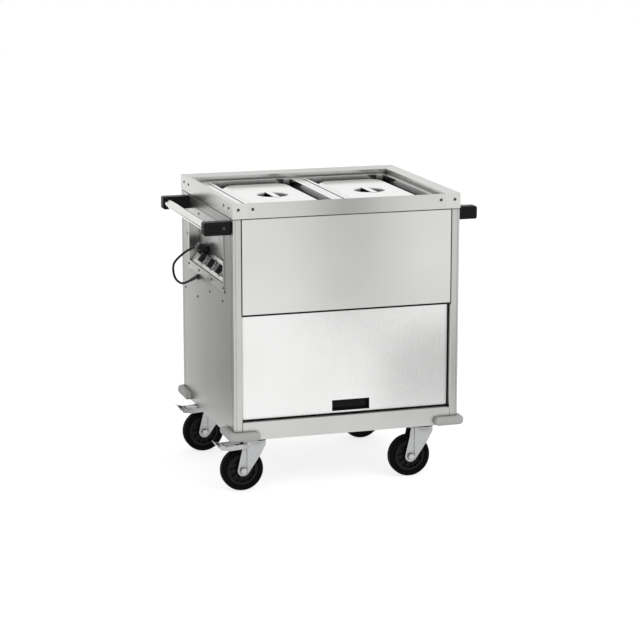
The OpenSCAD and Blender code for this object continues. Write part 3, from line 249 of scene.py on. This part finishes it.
RECIPES = {
    "panel": (brushed, dict(colour=(0.66, 0.655, 0.64), rough=0.3, grain="z")),
    # The side panels take a darker copy of the panel steel: painted shade for sides turned from
    # the light.
    "side": (brushed, dict(colour=(0.52, 0.515, 0.50), rough=0.32, grain="z")),
    "door": (brushed, dict(colour=(0.78, 0.775, 0.77), rough=0.27, grain="z")),
    "frame": (brushed, dict(colour=(0.53, 0.525, 0.51), rough=0.34, grain="z")),
    "rail": (brushed, dict(colour=(0.56, 0.555, 0.54), rough=0.34, grain="x")),
    "rim": (brushed, dict(colour=(0.60, 0.595, 0.58), rough=0.24, grain="x")),
    "rim_corner": (brushed, dict(colour=(0.63, 0.625, 0.61), rough=0.26, grain="z")),
    "liner": (brushed, dict(colour=(0.55, 0.55, 0.54), rough=0.4, grain="x")),
    "deck": (polished, dict(colour=(0.76, 0.76, 0.75), rough=0.12, darkest=0.05)),
    "well": (polished, dict(colour=(0.8, 0.8, 0.79), rough=0.09, reach=0.035, darkest=0.01,
                            shut=0.62)),
    "pan": (polished, dict(colour=(0.66, 0.66, 0.65), rough=0.12)),
    "lid": (polished, dict(colour=(0.81, 0.81, 0.80), rough=0.1, reach=0.012, darkest=0.02,
                           cup=True)),
    "tub": (polished, dict(colour=(0.60, 0.595, 0.58), rough=0.26, reach=0.015, darkest=0.3)),
    "tube": (polished, dict(colour=(0.72, 0.72, 0.71), rough=0.14)),
    # Near-black screw metal: painted dark reflections in the polished heads.
    "screw": (polished, dict(colour=(0.07, 0.07, 0.072), rough=0.22, edge=0.0003, reach=0.004)),
    "bolt": (polished, dict(colour=(0.48, 0.48, 0.485), rough=0.22, edge=0.0003, reach=0.004)),
    "dial": (polished, dict(colour=(0.75, 0.75, 0.74), rough=0.15, edge=0.0003, reach=0.003)),
    "zinc": (zinc, dict(colour=(0.44, 0.445, 0.45), rough=0.24)),
    "element": (moulded, dict(colour=(0.12, 0.11, 0.10), rough=0.6, grain=300, depth=0.0001)),
    "black": (moulded, dict(colour=(0.006, 0.006, 0.0063), rough=0.4, sheen=0.12)),
    "knob": (moulded, dict(colour=(0.010, 0.010, 0.010), rough=0.3, grain=1200, depth=0.00002,
                           sheen=0.4)),
    "hub": (moulded, dict(colour=(0.006, 0.006, 0.0063), rough=0.42, sheen=0.16)),
    "pointer": (moulded, dict(colour=(0.75, 0.75, 0.74), rough=0.45)),
    "bumper": (rubber, dict(colour=(0.36, 0.36, 0.355), rough=0.6, scuff=0.05, sheen=0.4)),
    "tyre": (rubber, dict(colour=(0.0035, 0.0035, 0.0035), rough=0.6, scuff=0.3, sheen=0.04)),
    "cord": (rubber, dict(colour=(0.010, 0.010, 0.010), rough=0.5, scuff=0.2)),
    "plug": (rubber, dict(colour=(0.014, 0.014, 0.0145), rough=0.45, scuff=0.15, sheen=0.35)),
    "seal": (rubber, dict(colour=(0.010, 0.010, 0.010), rough=0.7, scuff=0.1)),
}
MATERIALS = {name: maker(name, **recipe) for name, (maker, recipe) in RECIPES.items()}

FINISH = {
    "base_frame": "rail", "corner_posts": "frame", "left_side_panel": "side",
    "right_side_panel": "side", "rear_panel": "panel", "upper_front_panel": "panel",
    "heat_baffle": "liner", "door_tracks": "liner", "cupboard_liner": "liner",
    "cupboard_shelf": "liner", "cupboard_heater": "element", "deck": "deck",
    "top_rim": "rim", "rim_corners": "rim_corner", "well_left": "well", "well_right": "well",
    "well_heaters": "element", "control_tub": "tub", "thermostats": "black",
    "plug_holder": "zinc", "cable_gland": "plug", "mains_plug": "plug",
    "handle_tube_left": "tube", "handle_tube_right": "tube",
    "handle_brackets_left": "black", "handle_brackets_right": "black",
    "bumpers": "bumper", "body_screws": "screw", "caster_plates": "zinc",
    "caster_bolts": "bolt", "door_panel": "door", "door_back": "liner",
    "door_grip": "black", "door_shoes": "black", "pan_left": "pan", "pan_right": "pan",
    "lid_left": "lid", "lid_right": "lid",
}
CORNERS = ("fl", "fr", "rl", "rr")
BRAKED_CORNERS = ("fl", "rl")
KNOBS = (1, 2, 3)
for corner in CORNERS:
    FINISH.update({"fork_" + corner: "zinc", "axle_" + corner: "bolt",
                   "hub_" + corner: "hub", "tyre_" + corner: "tyre"})
for corner in BRAKED_CORNERS:
    FINISH["brake_pedal_" + corner] = "zinc"
for number in KNOBS:
    FINISH["knob_%d" % number] = "knob"

for name, finish in FINISH.items():
    node = nodes[name]
    if not node.material_slots:
        node.data.materials.append(None)
    for slot in node.material_slots:
        slot.material = MATERIALS[finish]

# ------------------------------------------------------------------ pieces
# Lengths here are in millimetres until they are placed.

MM = 0.001
BOX_FACES = ((0, 1, 3, 2), (4, 6, 7, 5), (0, 4, 5, 1),
             (2, 3, 7, 6), (0, 2, 6, 4), (1, 5, 7, 3))


def add_piece(name, mesh_or_curve, finish, body):
    piece = bpy.data.objects.new(name, mesh_or_curve)
    scene.collection.objects.link(piece)
    mesh_or_curve.materials.append(MATERIALS[finish])
    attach(piece, body)
    return piece


def new_mesh(name, vertices, faces):
    mesh = bpy.data.meshes.new(name)
    mesh.from_pydata(vertices, [], faces)
    return mesh


def strips_mesh(name, boxes, place=Vector):
    """Plain strips, each given by its lowest and highest corners."""
    vertices, faces = [], []
    for ends in boxes:
        start = len(vertices)
        vertices += [place((ends[i][0], ends[j][1], ends[k][2])) * MM
                     for i in (0, 1) for j in (0, 1) for k in (0, 1)]
        faces += [[start + n for n in face] for face in BOX_FACES]
    return new_mesh(name, vertices, faces)


# Black strips painted in as shade round the upper front panel: the shadow line under its foot and
# the dark seams up its sides
STRIP_WIDTH = 2.5
STRIP_LOW = 5
STRIP_PROUD = 0.3
STRIP_DEPTH = 1.5

(left, front, foot), (right, _, top) = (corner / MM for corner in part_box("upper_front_panel"))
strip_front, strip_back = front - STRIP_PROUD, front + STRIP_DEPTH
strips = [((left, strip_front, foot - STRIP_LOW), (right, strip_back, foot))]
for side in (left, right):
    strips.append(((side - STRIP_WIDTH / 2, strip_front, foot),
                   (side + STRIP_WIDTH / 2, strip_back, top)))
add_piece("panel_shade_strips", strips_mesh("panel_shade_strips", strips), "seal", "trolley")

# A white line in each knob's groove and a bright edge round its skirt
KNOB_RADIUS = 16
KNOB_HEIGHT = 18
LINE_FROM, LINE_TO = 7.4, 14.1
LINE_WIDTH = 1.3
LINE_SUNK, LINE_PROUD = 0.9, 0.15
EDGE_LOW, EDGE_HIGH, EDGE_THICK = 0.7, 3.1, 0.9
EDGE_STEPS = 64


def on_knob(number):
    """Places points given up the fascia, along it and out of it from a knob's foot."""
    joint = next(row for row in frame["joints"] if row["name"] == "knob_%d_turn" % number)
    knob_foot, out = Vector(joint["pos_m"]) / MM, Vector(joint["axis"])
    along = Vector((0, 1, 0))
    up = along.cross(out)
    return lambda point: knob_foot + up * point[0] + along * point[1] + out * point[2]


def ring_mesh(name, place):
    """The bright edge, its section turned about the knob's axis."""
    section = ((KNOB_RADIUS, EDGE_LOW), (KNOB_RADIUS + EDGE_THICK, EDGE_LOW),
               (KNOB_RADIUS + EDGE_THICK, EDGE_HIGH - EDGE_THICK / 2), (KNOB_RADIUS, EDGE_HIGH))
    sides = len(section)
    vertices, faces = [], []
    for step in range(EDGE_STEPS):
        turn = 2 * math.pi * step / EDGE_STEPS
        vertices += [place((r * math.cos(turn), r * math.sin(turn), h)) * MM for r, h in section]
        here, after = step * sides, (step + 1) % EDGE_STEPS * sides
        faces += [(here + n, here + (n + 1) % sides, after + (n + 1) % sides, after + n)
                  for n in range(sides)]
    mesh = new_mesh(name, vertices, faces)
    mesh.polygons.foreach_set("use_smooth", [True] * len(faces))
    return mesh


line_box = ((LINE_FROM, -LINE_WIDTH / 2, KNOB_HEIGHT - LINE_SUNK),
            (LINE_TO, LINE_WIDTH / 2, KNOB_HEIGHT + LINE_PROUD))
for number in KNOBS:
    knob, place = "knob_%d" % number, on_knob(number)
    line, edge = "knob_line_%d" % number, "knob_edge_%d" % number
    add_piece(line, strips_mesh(line, [line_box], place), "pointer", knob)
    add_piece(edge, ring_mesh(edge, place), "dial", knob)

# Mains lead, along the part's own route: each point is out of the side panel,
# along it, and above the recess's lower edge
CORD_DIAMETER = 7
GLAND_POINT = (6, 94, -33)
CORD_POINTS = ((20, 117, -47), (39, 150, -61), (53, 179, -46), (52, 191, -8),
               (19, 194, 23), (-6, 179, 40), (-14, 153, 47))
CORD_STEPS = 5
HALF_WIDTH = 338
RECESS_EDGE = 604


def at_recess(point):
    return Vector((-HALF_WIDTH - point[0], point[1], RECESS_EDGE + point[2]))


def between(a, b, c, d, t):
    """The point at share t of the smooth curve from b to c, with a before and d after."""
    return (2 * b + (c - a) * t + (2 * a - 5 * b + 4 * c - d) * t ** 2
            + (3 * b - a - 3 * c + d) * t ** 3) / 2


stops = [at_recess(point) for point in CORD_POINTS]
before = stops[0] - (stops[0] - at_recess(GLAND_POINT)).normalized() * (stops[1] - stops[0]).length
beyond = stops[-1] + Vector((0, -1, 0)) * (stops[-1] - stops[-2]).length
knots = [before, *stops, beyond]
route = [between(*knots[n:n + 4], step / CORD_STEPS) * MM
         for n in range(len(stops) - 1) for step in range(CORD_STEPS)] + [stops[-1] * MM]

cord_curve = bpy.data.curves.new("mains_lead", "CURVE")
cord_curve.dimensions = "3D"
cord_curve.bevel_depth = CORD_DIAMETER / 2 * MM
cord_curve.bevel_resolution = 6
cord_curve.use_fill_caps = True
spline = cord_curve.splines.new("POLY")
spline.points.add(len(route) - 1)
for knot, point in zip(spline.points, route):
    knot.co = (*point, 1)
spline.use_smooth = True
cord = add_piece("mains_lead", cord_curve, "cord", "trolley")
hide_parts("mains_cord")

# ------------------------------------------------------- floor and studio

STAGE_ROUGH = 0.9
FLOOR_HALF = 14.0
FLOOR_COLOUR = (0.9, 0.9, 0.9)
FLOOR_GLOW = 1.35
FLOOR_SHARE = 0.55
WORLD_LEVEL = 0.75
WHITE = (1, 1, 1, 1)


def seen_by(tree):
    """1 for camera, glossy and transmission rays, else 0."""
    path = tree.nodes.new("ShaderNodeLightPath")
    last = path.outputs["Is Camera Ray"]
    for ray in ("Is Glossy Ray", "Is Transmission Ray"):
        either = tree.nodes.new("ShaderNodeMath")
        either.operation = "MAXIMUM"
        tree.links.new(last, either.inputs[0])
        tree.links.new(path.outputs[ray], either.inputs[1])
        last = either.outputs[0]
    return last


def backdrop_material():
    """Pale floor that glows a little where it is seen, and keeps its shadows."""
    m = Nodes("backdrop", FLOOR_COLOUR, STAGE_ROUGH)
    glow = m.new("Emission", Color=WHITE, Strength=FLOOR_GLOW)
    share = m.new("MapRange", Value=seen_by(m.tree))
    share.inputs["To Max"].default_value = FLOOR_SHARE
    mix = m.new("MixShader", Fac=share.outputs[0])
    m.tree.links.new(m.shader.outputs[0], mix.inputs[1])
    m.tree.links.new(glow.outputs[0], mix.inputs[2])
    m.tree.links.new(mix.outputs[0], m.tree.nodes["Material Output"].inputs[0])
    return m.material


def add_stage(name, corners, material):
    """A flat piece of the studio, which isn't part of the object."""
    mesh = new_mesh(name, corners, [(0, 1, 2, 3)])
    mesh.materials.append(material)
    stage = bpy.data.objects.new(name, mesh)
    scene.collection.objects.link(stage)
    return stage


add_stage("floor", [(-FLOOR_HALF, -FLOOR_HALF, 0), (FLOOR_HALF, -FLOOR_HALF, 0),
                    (FLOOR_HALF, FLOOR_HALF, 0), (-FLOOR_HALF, FLOOR_HALF, 0)],
          backdrop_material())

world = bpy.data.worlds.new("studio")
scene.world = world
world.use_nodes = True
shade = world.node_tree.nodes["Background"]
shade.inputs["Color"].default_value = WHITE
level = world.node_tree.nodes.new("ShaderNodeMapRange")
world.node_tree.links.new(seen_by(world.node_tree), level.inputs["Value"])
level.inputs["To Min"].default_value = WORLD_LEVEL
world.node_tree.links.new(level.outputs[0], shade.inputs["Strength"])


def flag(name, place, width, height, grey, turn=0.0):
    """A grey studio card that only reflections see."""
    card = add_stage(name, [(-width / 2, 0, -height / 2), (width / 2, 0, -height / 2),
                            (width / 2, 0, height / 2), (-width / 2, 0, height / 2)],
                     Nodes(name, (grey, grey, grey), STAGE_ROUGH).material)
    card.location = place
    card.rotation_euler = (0, 0, math.radians(turn))
    card.visible_camera = False
    card.visible_diffuse = False
    card.visible_shadow = False


flag("flag_left", place=(-1.11, 0.8, 0.3), width=1.1, height=0.66, grey=0.36, turn=10)
flag("flag_foot", place=(-0.96, 0.45, 0.12), width=0.9, height=0.22, grey=0.36)
flag("flag_front", place=(0.36, -1.4, 0.62), width=0.15, height=0.75, grey=0.25)
flag("flag_low", place=(0.76, -1.0, 0.13), width=0.8, height=0.3, grey=0.82)


def softbox(name, place, target, size, power):
    data = bpy.data.lights.new(name, "AREA")
    data.size = size
    data.energy = power
    lamp = bpy.data.objects.new(name, data)
    lamp.location = place
    lamp.rotation_euler = (Vector(target) - Vector(place)).to_track_quat("-Z", "Y").to_euler()
    lamp.visible_glossy = False
    scene.collection.objects.link(lamp)


softbox("key", place=(1.6, -3.2, 3.4), target=(0, 0, 0.4), size=2.4, power=60)
softbox("fill", place=(-3.0, -2.6, 2.2), target=(0, 0, 0.4), size=2.0, power=18)
